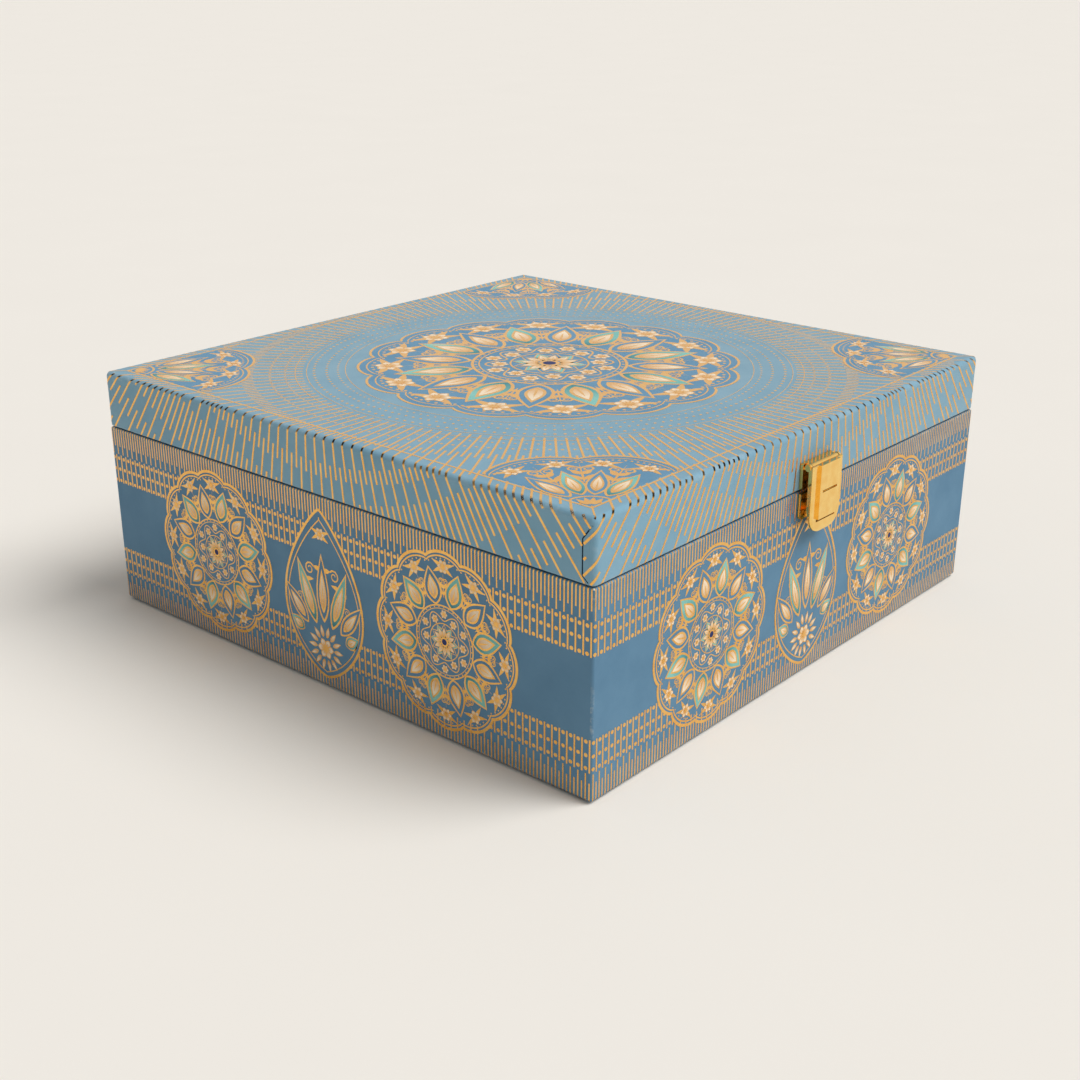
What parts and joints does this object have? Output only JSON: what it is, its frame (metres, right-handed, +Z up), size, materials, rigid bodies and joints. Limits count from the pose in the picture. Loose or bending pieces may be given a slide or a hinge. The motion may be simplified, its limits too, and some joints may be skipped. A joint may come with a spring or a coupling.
{
  "type": "sweet box",
  "caption": "Square paper-wrapped gift box for sweets, with a hinged lid that opens back and a gilt swing clasp at the front.",
  "frame": {"origin": "middle of the tray's underside, on the table", "axes": "+Z up, -Y towards the clasp, +Y towards the hinges"},
  "size_m": [0.254, 0.2644, 0.0994],
  "materials": {
    "fibreboard": "raw medium-density fibreboard, hidden under paper",
    "tray_paper": "slate-blue wrapping paper with a gold print, slightly satin",
    "lid_paper": "sky-blue wrapping paper with a gold print, slightly satin",
    "backing_paper": "plain dark paper",
    "lining_card": "plain ivory lining card",
    "gilt_metal": "polished gilt plating"
  },
  "bodies": {
    "tray": {"front_wall_board": "fibreboard", "back_wall_board": "fibreboard", "left_wall_board": "fibreboard", "right_wall_board": "fibreboard", "floor_board": "fibreboard", "tray_wrap": "tray_paper", "base_sheet": "backing_paper", "floor_lining": "lining_card", "wall_lining": "lining_card", "left_hinge_tray_leaf": "gilt_metal", "right_hinge_tray_leaf": "gilt_metal", "left_hinge_pin": "gilt_metal", "right_hinge_pin": "gilt_metal", "tray_hinge_nails": "gilt_metal", "catch_plate": "gilt_metal", "catch_plate_nails": "gilt_metal"},
    "lid": {"lid_front_rim": "fibreboard", "lid_back_rim": "fibreboard", "lid_left_rim": "fibreboard", "lid_right_rim": "fibreboard", "lid_panel": "fibreboard", "lid_wrap": "lid_paper", "lid_lining": "lining_card", "lid_rim_lining": "lining_card", "left_hinge_lid_leaf": "gilt_metal", "right_hinge_lid_leaf": "gilt_metal", "lid_hinge_nails": "gilt_metal", "clasp_plate": "gilt_metal", "clasp_plate_nails": "gilt_metal"},
    "flap": {"clasp_flap": "gilt_metal", "clasp_pin": "gilt_metal"}
  },
  "joints": [
    {"name": "lid_hinge", "type": "hinge", "parent": "tray", "child": "lid", "pos_m": [0, 0.1291, 0.07627], "axis": [-1, 0, 0], "range_deg": [0, 180]},
    {"name": "clasp_hinge", "type": "hinge", "parent": "lid", "child": "flap", "pos_m": [0, -0.1299, 0.08568], "axis": [-1, 0, 0], "range_deg": [0, 100]}
  ]
}
